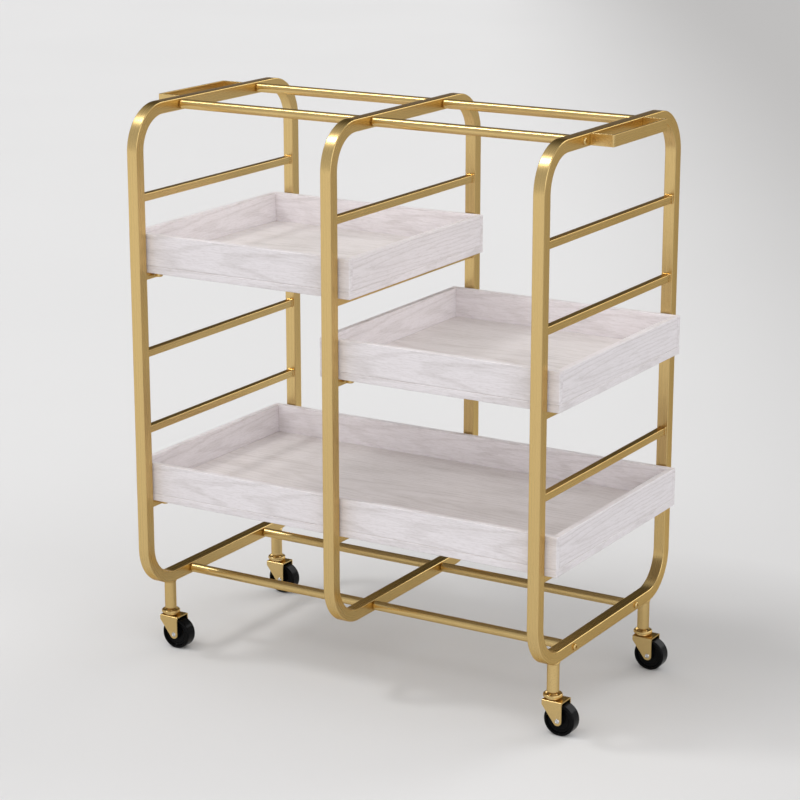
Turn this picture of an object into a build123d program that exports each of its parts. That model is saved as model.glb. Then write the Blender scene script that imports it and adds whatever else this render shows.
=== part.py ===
"""Three-tier service cart: three tube hoops with rungs, three wooden trays and four swivel casters.

Millimetres. +X runs along the cart, +Y across it from front to back, +Z up.
The origin is on the floor, under the middle of the cart.
"""

from build123d import *
import os

os.makedirs("parts", exist_ok=True)

# Hoops: closed loops of square tube that stand across the cart
hoop_spacing = 355.0  # from one hoop's middle to the next
hoop_depth = 455.0  # over the front and back posts
hoop_height = 791.0  # over the top and bottom bars
bend_radius = 63.0  # centre line of the corner bends
tube = 19.0  # side of the square tube
tube_wall = 1.2
tube_edge = 1.6  # rounding along the tube's edges

# Rungs: square tubes welded between the two posts of a hoop
rung_levels = {"left": (1, 2, 3, 4, 5), "middle": (1, 2, 3, 5), "right": (1, 2, 3, 4, 5)}
rung = 12.0
rung_wall = 1.0
rung_edge = 1.2
rung_pitch = 125.0
first_rung_drop = 139.0  # top of the hoop to the top of the first rung

# Rods: round tubes that join one hoop to the next
rod_inset = 120.5  # outside of the posts to the rod's axis
rod_dia = 15.0
rod_wall = 1.2
rod_neck_dia = 11.5  # plug that stands out of each end of a rod
rod_neck = 1.6
rod_plug = 22.0
rod_end_round = 0.8

# Bolts and studs that hold the rods to the hoops
bolt_dia = 6.0
bolt_reach = 14.0  # into the plug of a rod
bolt_head_dia = 10.5
bolt_head_height = 3.3
bolt_head_round = 2.4
bolt_socket = 4.0  # across the flats of the hexagon
bolt_socket_depth = 1.8
bolt_hole_play = 0.25  # radial, in the hoops
thread_play = 0.1  # radial, in the rods and the legs

# End handles: flat bar bent to a U
handle_length = 180.0
handle_reach = 39.0  # out from the side of the hoop
handle_bar = 4.0
handle_height = 18.0
handle_corner = 3.0

# Legs under the two end hoops
leg_inset = 70.5  # outside of the posts to the leg's axis
leg_dia = 19.0
leg_wall = 1.5
leg_length = 46.5
leg_plug = 16.0  # threaded plug in the lower end

# Trays: a rebated panel with four boards standing in the rebate
tray_play = 3.5  # between a tray and each post
tray_overhang = 27.0  # past the middle of the hoops at each end
panel_edge = 12.0  # height of the panel's rim, under the boards
floor_rise = 2.0  # the panel's field stands up between the boards
floor_play = 0.25  # between the field and each board
board_height = 50.0
board_thickness = 10.0
board_edge = 0.8
peg_dia = 12.0
peg_height = 9.0
peg_inset = 21.0  # outside of the tray to the peg's axis
peg_play = 2.0  # between a peg and the rung that it stops against
peg_round = 1.0

# Casters
wheel_dia = 51.0
wheel_width = 22.0
wheel_shoulder = 3.0
rim_inner_dia = 39.0
rim_draft = 2.0
web_width = 14.0
hub_dia = 16.0
hub_draft = 1.0
axle_dia = 6.0
axle_head_dia = 7.6
axle_head_height = 1.4
axle_head_round = 1.1
axle_dimple_dia = 2.8  # punched into the middle of each rivet head
axle_dimple_depth = 1.0
trail = 15.5  # swivel axis to the wheel's axle
axle_below_plate = 30.5
fork_width = 31.0  # outside
fork_sheet = 2.0
fork_bend = 2.6  # outside radius where the cheeks turn down
fork_back = 11.0  # behind the swivel axis
fork_shoulder = 7.5  # depth of a cheek's upright back edge
fork_lobe = 7.2  # radius of a cheek round the axle
raceway_dia = 22.0
raceway_rise = 3.0  # the plate is pressed up round the swivel axis
raceway_taper = 10.0
washer_dia = 20.5
washer_thickness = 0.8
swivel_play = 0.1  # above and below the washer, and under the raceway
pintle_dia = 10.0
pintle_head_dia = 13.0
pintle_head_height = 2.0
cap_dia = 30.0
cap_web = 1.5
cap_lip = 2.0
cap_lip_width = 5.0
cap_lip_round = 1.8
cap_skirt = 1.0
cap_skirt_wall = 1.6
neck_dia = 13.0
neck_length = 5.0
stem_dia = 10.0
stem_reach = 13.0  # into the plug of the leg
fit_play = 0.05  # radial, for a pin that turns
press_play = 0.02  # radial, for a pin that is fixed
hub_play = 0.3  # between the wheel's hub and each cheek

# Heights that follow from the sizes above
axle_z = wheel_dia / 2
plate_top = axle_z + axle_below_plate
plate_underside = plate_top - fork_sheet
raceway_top = plate_top + raceway_rise
washer_bottom = raceway_top + swivel_play
washer_top = washer_bottom + washer_thickness
cap_underside = washer_top + swivel_play
dish_floor = cap_underside + cap_web
leg_bottom = dish_floor + neck_length
hoop_bottom = leg_bottom + leg_length
hoop_top = hoop_bottom + hoop_height
hoop_middle = hoop_bottom + hoop_height / 2

# Places that follow from the sizes above
bend_outside = bend_radius + tube / 2
bend_inside = bend_radius - tube / 2
post_gap = hoop_depth - 2 * tube
rod_y = hoop_depth / 2 - rod_inset
leg_y = hoop_depth / 2 - leg_inset
rod_heights = {"top": hoop_top - tube / 2, "bottom": hoop_bottom + tube / 2}
rod_places = [(y, z) for y in (-rod_y, rod_y) for z in rod_heights.values()]
hoop_places = {"left": -hoop_spacing, "middle": 0.0, "right": hoop_spacing}
end_places = {"left": -hoop_spacing, "right": hoop_spacing}
row_places = {"front": -1, "back": 1}
tray_depth = post_gap - 2 * tray_play


def rung_top(level):
    """Height of the top of a rung, counted from 1 at the top of the hoop."""
    return hoop_top - first_rung_drop - (level - 1) * rung_pitch


def write(piece, name):
    """Labels a finished piece and writes it as a node of its own."""
    piece.label = name
    export_step(piece, f"parts/{name}.step")


# One hoop: a rounded frame of square tube, hollow inside, with holes for the rods' bolts
with BuildPart() as hoop:
    with BuildSketch(Plane.YZ.offset(-tube / 2)):
        with Locations((0, hoop_middle)):
            RectangleRounded(hoop_depth, hoop_height, bend_outside)
            RectangleRounded(post_gap, hoop_height - 2 * tube, bend_inside, mode=Mode.SUBTRACT)
    extrude(amount=tube)
    fillet(hoop.faces().filter_by(Axis.X).edges(), tube_edge)
    with BuildSketch(Plane.YZ.offset(-tube / 2 + tube_wall)):
        with Locations((0, hoop_middle)):
            RectangleRounded(
                hoop_depth - 2 * tube_wall,
                hoop_height - 2 * tube_wall,
                bend_outside - tube_wall,
            )
            RectangleRounded(
                post_gap + 2 * tube_wall,
                hoop_height - 2 * (tube - tube_wall),
                bend_inside + tube_wall,
                mode=Mode.SUBTRACT,
            )
    extrude(amount=tube - 2 * tube_wall, mode=Mode.SUBTRACT)
    with BuildSketch(Plane.YZ):
        with Locations(*rod_places):
            Circle(bolt_dia / 2 + bolt_hole_play)
    extrude(amount=tube, both=True, mode=Mode.SUBTRACT)

# Each hoop's rungs are open tubes that end on the posts' inner faces
for side, x in hoop_places.items():
    write(hoop.part.moved(Location((x, 0, 0))), f"hoop_{side}")
    with BuildPart() as rungs:
        with BuildSketch(Plane.XZ):
            for level in rung_levels[side]:
                with Locations((x, rung_top(level) - rung / 2)):
                    RectangleRounded(rung, rung, rung_edge)
                    Rectangle(rung - 2 * rung_wall, rung - 2 * rung_wall, mode=Mode.SUBTRACT)
        extrude(amount=post_gap / 2, both=True)
    write(rungs.part, f"rungs_{side}")

# One rod: a tube whose two plugs stand out as narrower necks, tapped for a bolt or a stud
rod_length = hoop_spacing - tube
with BuildPart() as rod:
    with BuildSketch(Plane.XZ):
        with Locations((0, rod_dia / 4)):
            barrel = Rectangle(rod_length - 2 * rod_neck, rod_dia / 2)
        fillet(barrel.vertices().group_by(Axis.Z)[-1], rod_end_round)
        with Locations((0, rod_neck_dia / 4)):
            Rectangle(rod_length, rod_neck_dia / 2)
        bore = rod_dia / 2 - rod_wall
        with Locations((0, bore / 2)):
            Rectangle(rod_length - 2 * rod_plug, bore, mode=Mode.SUBTRACT)
        tapping = bolt_dia / 2 + thread_play
        with Locations((0, tapping / 2)):
            Rectangle(rod_length, tapping, mode=Mode.SUBTRACT)
    revolve(axis=Axis.X)

for level, z in rod_heights.items():
    for row, y_side in row_places.items():
        for bay, x_side in (("left", -1), ("right", 1)):
            place = Location((x_side * hoop_spacing / 2, y_side * rod_y, z))
            write(rod.part.moved(place), f"rod_{level}_{row}_{bay}")

# Button-head bolts through the two end hoops into the rods
with BuildPart() as end_bolts:
    for side in (-1, 1):
        seat = Plane(
            origin=(side * (hoop_spacing + tube / 2), 0, 0),
            x_dir=(0, side, 0),
            z_dir=(side, 0, 0),
        )
        with BuildSketch(seat):
            with Locations(*rod_places):
                Circle(bolt_head_dia / 2)
        extrude(amount=bolt_head_height)
        with BuildSketch(seat):
            with Locations(*rod_places):
                Circle(bolt_dia / 2)
        extrude(amount=-(tube + bolt_reach))
    outer_rims = end_bolts.edges().filter_by(GeomType.CIRCLE).group_by(Axis.X)
    fillet(outer_rims[0] + outer_rims[-1], bolt_head_round)
    for side in (-1, 1):
        crown = Plane(
            origin=(side * (hoop_spacing + tube / 2 + bolt_head_height), 0, 0),
            x_dir=(0, side, 0),
            z_dir=(side, 0, 0),
        )
        with BuildSketch(crown):
            with Locations(*rod_places):
                RegularPolygon(bolt_socket / 2, 6, major_radius=False)
        extrude(amount=-bolt_socket_depth, mode=Mode.SUBTRACT)
write(end_bolts.part, "end_bolts")

# Studs through the middle hoop, one for each pair of rods
with BuildPart() as joining_studs:
    with BuildSketch(Plane.YZ):
        with Locations(*rod_places):
            Circle(bolt_dia / 2)
    extrude(amount=tube / 2 + bolt_reach, both=True)
write(joining_studs.part, "joining_studs")

# End handle: flat bar round three sides, its two arms welded to the side of the hoop
with BuildPart() as handle:
    with BuildSketch(Plane.XY.offset(hoop_top - handle_height)):
        with Locations((handle_reach / 2, 0)):
            Rectangle(handle_reach, handle_length)
        with Locations(((handle_reach - handle_bar) / 2, 0)):
            Rectangle(handle_reach - handle_bar, handle_length - 2 * handle_bar, mode=Mode.SUBTRACT)
    extrude(amount=handle_height)
    outer_corners = handle.edges().filter_by(Axis.Z).group_by(Axis.X)[-1]
    fillet(outer_corners, handle_corner)
hoop_side = hoop_spacing + tube / 2
write(handle.part.moved(Location((hoop_side, 0, 0))), "handle_right")
write(handle.part.moved(Location((-hoop_side, 0, 0), (0, 0, 180))), "handle_left")

# One leg, as it stands at the front: a round tube coped to the hoop's lower bend,
# with a threaded plug in its foot
with BuildPart() as leg:
    with BuildSketch(Plane.XY.offset(leg_bottom)):
        Circle(leg_dia / 2)
    extrude(amount=leg_length + tube / 2)
    with BuildSketch(Plane.XY.offset(leg_bottom + leg_plug)):
        Circle(leg_dia / 2 - leg_wall)
    extrude(amount=leg_length + tube, mode=Mode.SUBTRACT)
    with BuildSketch(Plane.XY.offset(leg_bottom)):
        Circle(stem_dia / 2 + thread_play)
    extrude(amount=leg_plug, mode=Mode.SUBTRACT)
    with BuildSketch(Plane.YZ):
        with Locations((leg_y, hoop_middle)):
            RectangleRounded(hoop_depth, hoop_height, bend_outside)
    extrude(amount=leg_dia, both=True, mode=Mode.SUBTRACT)

# Caster stem: thread, neck, dished cap and the riveted pintle that the fork turns on
cap_top = dish_floor + cap_lip
skirt_bottom = cap_underside - cap_skirt
pintle_head_top = raceway_top - fork_sheet - swivel_play
with BuildPart() as stem:
    with BuildSketch(Plane.XZ):
        with BuildLine():
            Polyline(
                (0, pintle_head_top - pintle_head_height),
                (pintle_head_dia / 2, pintle_head_top - pintle_head_height),
                (pintle_head_dia / 2, pintle_head_top),
                (pintle_dia / 2, pintle_head_top),
                (pintle_dia / 2, cap_underside),
                (cap_dia / 2 - cap_skirt_wall, cap_underside),
                (cap_dia / 2 - cap_skirt_wall, skirt_bottom),
                (cap_dia / 2, skirt_bottom),
                (cap_dia / 2, cap_top),
                (cap_dia / 2 - cap_lip_width / 2, cap_top),
                (cap_dia / 2 - cap_lip_width, dish_floor),
                (neck_dia / 2, dish_floor),
                (neck_dia / 2, leg_bottom),
                (stem_dia / 2, leg_bottom),
                (stem_dia / 2, leg_bottom + stem_reach),
                (0, leg_bottom + stem_reach),
                close=True,
            )
        section = make_face()
        lip_corners = section.vertices().filter_by_position(
            Axis.Z, cap_top - cap_lip / 2, cap_top + cap_lip / 2
        )
        fillet(lip_corners, cap_lip_round)
    revolve(axis=Axis.Z)

# Plastic washer between the cap and the fork's raceway
with BuildPart() as washer:
    with BuildSketch(Plane.XY.offset(washer_bottom)):
        Circle(washer_dia / 2)
        Circle(pintle_dia / 2 + fit_play, mode=Mode.SUBTRACT)
    extrude(amount=washer_thickness)

# Fork: pressed from one sheet, a plate with a raised raceway and two tapering cheeks
fork_front = trail + fork_lobe
with BuildPart() as fork:
    with BuildSketch(Plane.XZ):
        with Locations((trail, axle_z)):
            Circle(fork_lobe)
        with Locations(((fork_front - fork_back) / 2, plate_top - fork_shoulder / 2)):
            Rectangle(fork_front + fork_back, fork_shoulder)
        make_hull()
    extrude(amount=fork_width / 2, both=True)
    fillet(fork.edges().filter_by(Axis.X).group_by(Axis.Z)[-1], fork_bend)
    with BuildSketch(Plane.XZ):
        with Locations(((fork_front - fork_back) / 2, plate_underside - plate_top / 2)):
            Rectangle(2 * (fork_front + fork_back), plate_top)
    extrude(amount=fork_width / 2 - fork_sheet, both=True, mode=Mode.SUBTRACT)
    with BuildSketch(Plane.XY.offset(plate_top)):
        Circle(raceway_dia / 2)
    extrude(amount=raceway_rise, taper=raceway_taper)
    with BuildSketch(Plane.XY.offset(plate_underside)):
        Circle(raceway_dia / 2 - fork_sheet)
    extrude(amount=raceway_rise, taper=raceway_taper, mode=Mode.SUBTRACT)
    with BuildSketch(Plane.XY.offset(plate_underside)):
        Circle(pintle_dia / 2 + fit_play)
    extrude(amount=fork_sheet + raceway_rise, mode=Mode.SUBTRACT)
    with BuildSketch(Plane.XZ):
        with Locations((trail, axle_z)):
            Circle(axle_dia / 2 + press_play)
    extrude(amount=fork_width, both=True, mode=Mode.SUBTRACT)

# Axle: a rivet through both cheeks, domed and dimpled at its two ends
with BuildPart() as axle:
    with BuildSketch(Plane.XZ):
        with Locations((trail, axle_z)):
            Circle(axle_dia / 2)
    extrude(amount=fork_width / 2, both=True)
    for side in (-1, 1):
        cheek = Plane(origin=(trail, side * fork_width / 2, axle_z), z_dir=(0, side, 0))
        with BuildSketch(cheek):
            Circle(axle_head_dia / 2)
        extrude(amount=axle_head_height)
    head_rims = axle.edges().filter_by(GeomType.CIRCLE).group_by(Axis.Y)
    fillet(head_rims[0] + head_rims[-1], axle_head_round)
    for side in (-1, 1):
        head_end = side * (fork_width / 2 + axle_head_height)
        with BuildSketch(Plane(origin=(trail, head_end, axle_z), z_dir=(0, side, 0))):
            Circle(axle_dimple_dia / 2)
        extrude(amount=-axle_dimple_depth, mode=Mode.SUBTRACT)

# Wheel: a hub, a thin web and a raised rim under a round-shouldered tread
hub_width = fork_width - 2 * fork_sheet - 2 * hub_play
with BuildPart() as wheel:
    with BuildSketch(Plane.YZ):
        with BuildLine():
            Polyline(
                (0, axle_dia / 2 + fit_play),
                (hub_width / 2, axle_dia / 2 + fit_play),
                (hub_width / 2, hub_dia / 2),
                (web_width / 2, hub_dia / 2 + hub_draft),
                (web_width / 2, rim_inner_dia / 2),
                (wheel_width / 2, rim_inner_dia / 2 + rim_draft),
                (wheel_width / 2, wheel_dia / 2),
                (0, wheel_dia / 2),
                close=True,
            )
        half = make_face()
        shoulder = half.vertices().group_by(Axis.Z)[-1].sort_by(Axis.Y)[-1]
        fillet(shoulder, wheel_shoulder)
        mirror(about=Plane.YZ)
    revolve(axis=Axis.Y)

for row, y_side in row_places.items():
    for end, x in end_places.items():
        corner = f"{row}_{end}"
        foot = Location((x, y_side * leg_y, 0))
        leg_turn = (0, 0, 180) if row == "back" else (0, 0, 0)
        write(leg.part.moved(Location((x, y_side * leg_y, 0), leg_turn)), f"leg_{corner}")
        write(stem.part.moved(foot), f"caster_{corner}_stem")
        write(washer.part.moved(foot), f"caster_{corner}_washer")
        write(fork.part.moved(foot), f"caster_{corner}_fork")
        write(axle.part.moved(foot), f"caster_{corner}_axle")
        hub = Location((x + trail, y_side * leg_y, axle_z))
        write(wheel.part.moved(hub), f"caster_{corner}_wheel")


def board(name, low, high):
    """A flat board between two corners, with its edges eased."""
    with BuildPart() as piece:
        with BuildSketch(Plane.XY.offset(low[2])):
            with Locations(((low[0] + high[0]) / 2, (low[1] + high[1]) / 2)):
                Rectangle(high[0] - low[0], high[1] - low[1])
        extrude(amount=high[2] - low[2])
        fillet(piece.edges(), board_edge)
    write(piece.part, name)


def tray(name, left_hoop, right_hoop, level):
    """A panel on the rungs of that level, its four boards, and the pegs that stop it sliding endways."""
    x0, x1 = left_hoop - tray_overhang, right_hoop + tray_overhang
    y0, y1 = -tray_depth / 2, tray_depth / 2
    z0 = rung_top(level)
    z1 = z0 + panel_edge
    z2 = z1 + board_height
    rebate = board_thickness + floor_play
    with BuildPart() as panel:
        with BuildSketch(Plane.XY.offset(z0)):
            with Locations(((x0 + x1) / 2, 0)):
                Rectangle(x1 - x0, tray_depth)
        extrude(amount=panel_edge)
        fillet(panel.edges(), board_edge)
        with BuildSketch(Plane.XY.offset(z1)):
            with Locations(((x0 + x1) / 2, 0)):
                Rectangle(x1 - x0 - 2 * rebate, tray_depth - 2 * rebate)
        extrude(amount=floor_rise)
    write(panel.part, f"{name}_panel")
    board(f"{name}_front", (x0, y0, z1), (x1, y0 + board_thickness, z2))
    board(f"{name}_back", (x0, y1 - board_thickness, z1), (x1, y1, z2))
    inner_y = y1 - board_thickness
    board(f"{name}_left", (x0, -inner_y, z1), (x0 + board_thickness, inner_y, z2))
    board(f"{name}_right", (x1 - board_thickness, -inner_y, z1), (x1, inner_y, z2))
    stop = rung / 2 + peg_play + peg_dia / 2
    with BuildPart() as pegs:
        with BuildSketch(Plane.XY.offset(z0)):
            for x in (left_hoop + stop, right_hoop - stop):
                with Locations((x, y0 + peg_inset), (x, y1 - peg_inset)):
                    Circle(peg_dia / 2)
        extrude(amount=-peg_height)
        fillet(pegs.edges().group_by(Axis.Z)[0], peg_round)
    write(pegs.part, f"{name}_pegs")


tray("tray_upper", hoop_places["left"], hoop_places["middle"], 2)
tray("tray_middle", hoop_places["middle"], hoop_places["right"], 3)
tray("tray_lower", hoop_places["left"], hoop_places["right"], 5)
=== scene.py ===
# %% [markdown]
# # A three-tier service cart
# Three tall hoops of gold square tube are tied together by round rods. Wooden trays rest on rungs inside
# the hoops, and the cart rolls on four swivel casters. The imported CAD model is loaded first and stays
# fixed. Most visible pieces are then modelled again over it, at the same size and place, because a
# modelled piece can have smooth bends, eased edges and a grain, and CAD triangles can't.

# %% Load the fixed frame
import math

import bmesh
import bpy
from mathutils import Matrix, Vector


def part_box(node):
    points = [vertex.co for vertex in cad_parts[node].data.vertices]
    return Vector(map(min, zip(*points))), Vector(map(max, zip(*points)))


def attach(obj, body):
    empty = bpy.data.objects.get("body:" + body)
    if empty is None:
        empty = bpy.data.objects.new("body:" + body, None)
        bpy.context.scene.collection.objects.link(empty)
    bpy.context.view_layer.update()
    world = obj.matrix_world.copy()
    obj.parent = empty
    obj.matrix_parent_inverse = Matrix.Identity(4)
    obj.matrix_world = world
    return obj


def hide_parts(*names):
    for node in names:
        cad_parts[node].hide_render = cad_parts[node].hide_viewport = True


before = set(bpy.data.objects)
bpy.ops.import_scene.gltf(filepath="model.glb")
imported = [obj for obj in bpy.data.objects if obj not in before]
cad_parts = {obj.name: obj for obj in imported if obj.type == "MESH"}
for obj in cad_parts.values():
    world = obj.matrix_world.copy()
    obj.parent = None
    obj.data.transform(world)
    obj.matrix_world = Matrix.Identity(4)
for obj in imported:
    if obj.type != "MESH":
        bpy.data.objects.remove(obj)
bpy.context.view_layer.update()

# %% [markdown]
# ## Working by hand, in code
# An operator acts on whatever is selected, and the loaded CAD pieces start out selected. So each piece
# begins with nothing selected, and faces or edges are then picked by their place or their normal. The
# place of a new piece is applied to its mesh, so that the object itself sits at the origin like a CAD
# node.

# %% Helpers for starting, picking and placing
def start(primitive, name, **settings):
    """Adds a primitive with nothing else selected."""
    bpy.ops.object.select_all(action="DESELECT")
    primitive(**settings)
    piece = bpy.context.object
    piece.name = name
    return piece


def select_only(piece):
    """Makes one piece the only one that operators act on."""
    bpy.ops.object.select_all(action="DESELECT")
    piece.select_set(True)
    bpy.context.view_layer.objects.active = piece


def apply_place(piece):
    """Moves the object's place, turn and scale into its mesh."""
    select_only(piece)
    bpy.ops.object.transform_apply(location=True, rotation=True, scale=True)


def open_mesh(piece, mode="FACE"):
    """Enters edit mode with nothing picked."""
    select_only(piece)
    bpy.ops.object.mode_set(mode="EDIT")
    bpy.ops.mesh.select_mode(type=mode)
    bpy.ops.mesh.select_all(action="DESELECT")


def pick(piece, kind, test):
    """Picks the faces or edges of the open mesh that pass a test, and nothing else."""
    bpy.ops.mesh.select_all(action="DESELECT")
    mesh = bmesh.from_edit_mesh(piece.data)
    chosen = [part for part in getattr(mesh, kind) if test(part)]
    for part in chosen:
        part.select_set(True)
    bmesh.update_edit_mesh(piece.data)


def close_mesh():
    """Goes back to object mode."""
    bpy.ops.object.mode_set(mode="OBJECT")


# %% [markdown]
# ## Soft edges, copies and joins
# No real edge is perfectly sharp, and the narrow rounding along an edge is what catches the light. A
# bevel rounds every edge that is sharper than a given angle, and weighted normals keep the flats between
# the edges flat. A shape that repeats is modelled once. Each copy gets its own mesh, and the copies that
# stand for one CAD node are joined.

# %% Helpers for edges, copies and joins
edge_segments = 3
smooth_below = math.radians(40)
flat_weight = 80


def modify(piece, kind, **settings):
    """Adds a modifier and applies it at once."""
    select_only(piece)
    modifier = piece.modifiers.new(kind.lower(), kind)
    for key, value in settings.items():
        setattr(modifier, key, value)
    bpy.ops.object.modifier_apply(modifier=modifier.name)


def ease_edges(piece, width, sharper_than=50):
    """Rounds the sharp edges and keeps the flats flat under smooth shading."""
    modify(piece, "BEVEL", width=width, segments=edge_segments, limit_method="ANGLE",
           angle_limit=math.radians(sharper_than), use_clamp_overlap=True)
    bpy.ops.object.shade_smooth_by_angle(angle=smooth_below)
    modify(piece, "WEIGHTED_NORMAL", keep_sharp=True, weight=flat_weight)


def copy_to(piece, name, offset, turn=0.0):
    """A copy with its own mesh, turned about the world's Z axis and then moved."""
    twin = piece.copy()
    twin.data = piece.data.copy()
    twin.name = name
    bpy.context.collection.objects.link(twin)
    twin.data.transform(Matrix.Translation(offset) @ Matrix.Rotation(turn, 4, "Z"))
    return twin


def join(pieces, name):
    """Makes one object of several."""
    select_only(pieces[0])
    for piece in pieces[1:]:
        piece.select_set(True)
    bpy.ops.object.join()
    pieces[0].name = name
    return pieces[0]


# %% [markdown]
# ## Handing a piece over
# A finished piece needs three things: a finish, the body that carries it when a joint moves, and the CAD
# nodes that it stands for, which it then hides. Brushed lines and wood grain follow the length of a piece,
# so each vertex can also store its own place along, across and through the piece.

# %% Helpers for handing a piece over
def middle_of(node):
    """The middle of a CAD node's box."""
    low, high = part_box(node)
    return (low + high) / 2


def keep_place(piece, where):
    """Stores, at each vertex, a place along, across and through the piece for its finish to follow."""
    store = piece.data.attributes.new("own_place", "FLOAT_VECTOR", "POINT")
    for vert, item in zip(piece.data.vertices, store.data):
        item.vector = where(vert.co)


def dress(piece, material, slot, body, *nodes):
    """Gives a finished piece its finish and the body that it rides on, and hides the CAD nodes that it
    stands for.
    """
    piece.data.materials.clear()
    piece.data.materials.append(material)
    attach(piece, body)
    if nodes:
        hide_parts(*nodes)


# %% [markdown]
# ## Building a material
# Every finish is a node tree. A few helpers that make a node, set its sockets and wire it keep the
# finishes readable: each material below then says only what it is made of.

# %% Helpers for nodes
mix_factor, mix_low, mix_high, mix_result = 0, 6, 7, 2


def feed(tree, socket, value):
    """Wires a socket to another node's output, or sets it to a plain value."""
    if isinstance(value, bpy.types.NodeSocket):
        tree.links.new(value, socket)
    else:
        socket.default_value = value


def add_node(tree, kind, settings=None, **sockets):
    """Makes a node and sets its properties and its sockets, with _ for a space in a socket's name."""
    node = tree.nodes.new(kind)
    for key, value in (settings or {}).items():
        setattr(node, key, value)
    for key, value in sockets.items():
        feed(tree, node.inputs[key.replace("_", " ")], value)
    return node


def blend(tree, factor, low, high):
    """Mixes two colours by a factor, on the colour sockets of a Mix node."""
    node = add_node(tree, "ShaderNodeMix", {"data_type": "RGBA"})
    for number, value in ((mix_factor, factor), (mix_low, low), (mix_high, high)):
        feed(tree, node.inputs[number], value)
    return node.outputs[mix_result]


def combine(tree, operation, first, second):
    """One Math node with two inputs."""
    node = add_node(tree, "ShaderNodeMath", {"operation": operation})
    feed(tree, node.inputs[0], first)
    feed(tree, node.inputs[1], second)
    return node.outputs[0]


def combine_vectors(tree, operation, first, second, result="Vector"):
    """One Vector Math node with two inputs, and the output that is asked for."""
    node = add_node(tree, "ShaderNodeVectorMath", {"operation": operation})
    feed(tree, node.inputs[0], first)
    feed(tree, node.inputs[1], second)
    return node.outputs[result]


def spread(tree, value, low, high, to_low=0.0, to_high=1.0, kind="LINEAR"):
    """Stretches part of a value's range over another."""
    node = add_node(tree, "ShaderNodeMapRange", {"clamp": True, "interpolation_type": kind}, Value=value)
    for socket, number in zip(node.inputs[1:5], (low, high, to_low, to_high)):
        socket.default_value = number
    return node.outputs[0]


# %% [markdown]
# ## Groups and materials
# An effect that several finishes share is a node group with named sockets, built once and placed in each
# of them with its own values. A material itself holds one Principled shader, whose even values are set on
# the shader's own sockets.

# %% Helpers for groups and materials
def new_group(name, inputs, outputs):
    """A shader node group with named sockets, and its input and output nodes."""
    tree = bpy.data.node_groups.new(name, "ShaderNodeTree")
    for label, kind in inputs:
        tree.interface.new_socket(name=label, in_out="INPUT", socket_type=kind)
    for label, kind in outputs:
        tree.interface.new_socket(name=label, in_out="OUTPUT", socket_type=kind)
    return tree, tree.nodes.new("NodeGroupInput"), tree.nodes.new("NodeGroupOutput")


def new_material(name):
    """A material with one Principled shader, and its tree and shader."""
    material = bpy.data.materials.new(name)
    material.use_nodes = True
    tree = material.node_tree
    return material, tree, tree.nodes["Principled BSDF"]


# %% [markdown]
# ## The fine grain of a coated surface
# Brushed, lacquered and moulded surfaces have a grain too fine to see, and it breaks up their shine.
# Three noises are enough: a round one for the grain of a coating, one drawn out into lines for brushing,
# and a broad one for slow changes of tone. Metals and plastic share them, so they are a group.

# %% The fine grain, as a group
fine_grain, grain_in, grain_out = new_group(
    "fine grain",
    [("Vector", "NodeSocketVector"), ("Grain Size", "NodeSocketFloat"), ("Line Length", "NodeSocketFloat")],
    [("Fine", "NodeSocketFloat"), ("Lines", "NodeSocketFloat"), ("Broad", "NodeSocketFloat")],
)
grain_place, grain_size = grain_in.outputs["Vector"], grain_in.outputs["Grain Size"]
fine_noise = add_node(fine_grain, "ShaderNodeTexNoise", Vector=grain_place, Scale=grain_size,
                      Detail=2.0, Roughness=0.6)
broad_noise = add_node(fine_grain, "ShaderNodeTexNoise", Vector=grain_place, Scale=9.0,
                       Detail=2.0, Roughness=0.5)
line_shape = add_node(fine_grain, "ShaderNodeCombineXYZ", X=grain_in.outputs["Line Length"], Y=1.0, Z=1.0)
line_place = combine_vectors(fine_grain, "MULTIPLY", grain_place, line_shape.outputs[0])
line_noise = add_node(fine_grain, "ShaderNodeTexNoise", Vector=line_place, Scale=grain_size,
                      Detail=3.0, Roughness=0.7)
for label, noise in (("Fine", fine_noise), ("Lines", line_noise), ("Broad", broad_noise)):
    fine_grain.links.new(noise.outputs[0], grain_out.inputs[label])
print("group:", fine_grain.name)

# %% [markdown]
# ## Satin gold and bright zinc
# The tube is steel with a satin gold finish: a warm metal, brushed along its length and covered by a thin
# clear lacquer. The brushed lines vary the roughness and lift the surface by a hair, and the broad noise
# shifts the tone a little. Tubes carry an attribute with their own length, so that the lines follow the
# bends. Small fittings aren't brushed, and neither is the zinc of rivets and studs, so they use plain
# places.

# %% Gold and zinc
brushed_length, plain_length = 0.006, 1.0
broad_share, line_share = 0.7, 0.3
tone_low, tone_high = 0.25, 0.75
noise_low, noise_high = 0.3, 0.7
metal_relief = 0.0002
lacquer_roughness = 0.16
gold_tones = {
    "dark": (0.60, 0.415, 0.155, 1),
    "light": (0.73, 0.535, 0.235, 1),
    "edge_tint": (0.72, 0.49, 0.20, 1),
}
zinc_tones = {
    "dark": (0.52, 0.53, 0.55, 1),
    "light": (0.70, 0.71, 0.73, 1),
    "edge_tint": (1, 1, 1, 1),
}


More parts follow.
